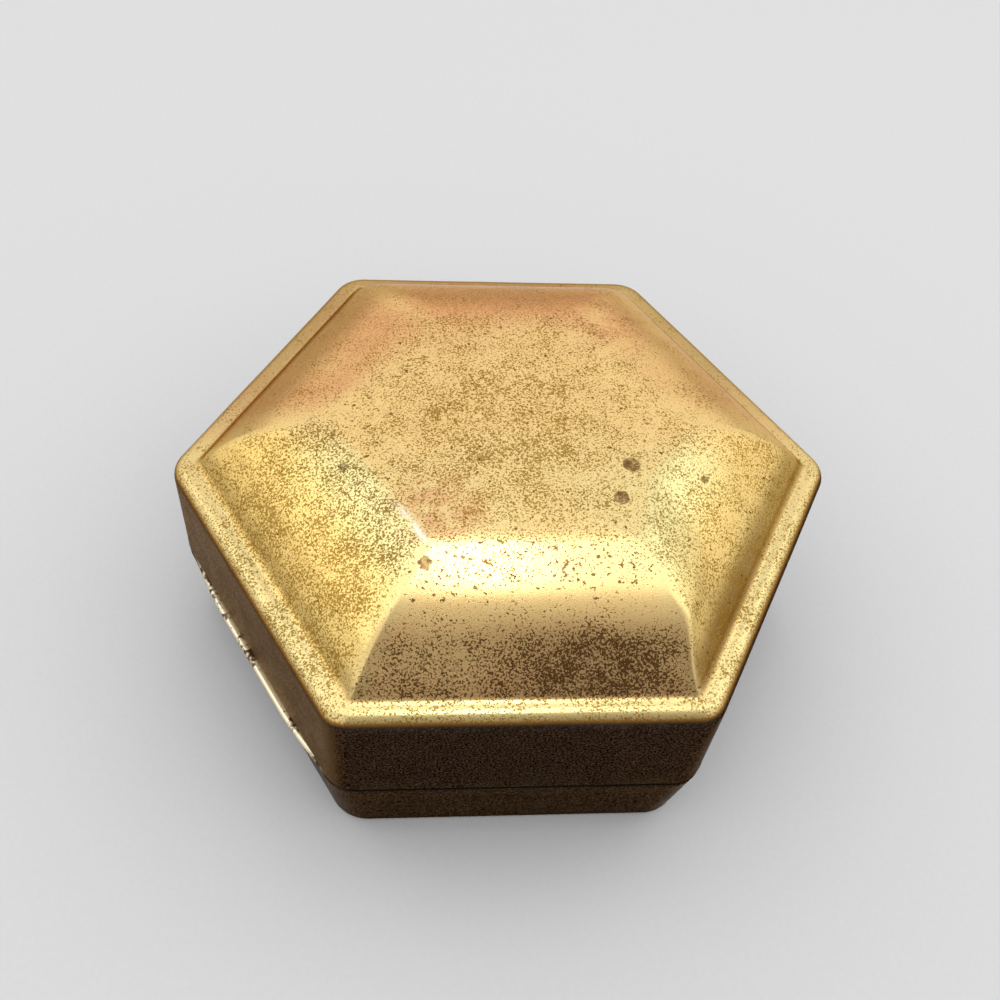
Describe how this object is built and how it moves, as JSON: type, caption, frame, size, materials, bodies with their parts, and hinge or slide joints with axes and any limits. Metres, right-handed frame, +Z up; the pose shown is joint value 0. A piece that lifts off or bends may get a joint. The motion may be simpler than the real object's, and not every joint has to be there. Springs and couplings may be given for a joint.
{
  "type": "trinket box",
  "caption": "Hexagonal aged-brass trinket box with a deep lift-off lid, a softly faceted domed top, and a shallow tray whose inner collar keeps the lid in place.",
  "frame": {"origin": "middle of the tray's underside, on the surface that the box stands on", "axes": "+Z up, the way the lid lifts; +X along the front flat side, corner to corner; -Y faces the front flat side"},
  "size_m": [0.075, 0.066, 0.0336],
  "materials": {
    "tray_brass": "aged satin brass, dark with patina",
    "collar_brass": "clean satin brass",
    "pad_velvet": "short-pile velvet",
    "lid_brass": "aged satin brass with fine dark specks"
  },
  "bodies": {
    "base": {"base_tray": "tray_brass", "lip_collar": "collar_brass", "floor_pad": "pad_velvet"},
    "lid": {"lid_shell": "lid_brass"}
  },
  "joints": [
    {"name": "lid_lift", "type": "slide", "parent": "base", "child": "lid", "axis": [0, 0, 1], "range_m": [0, 0.04]}
  ]
}
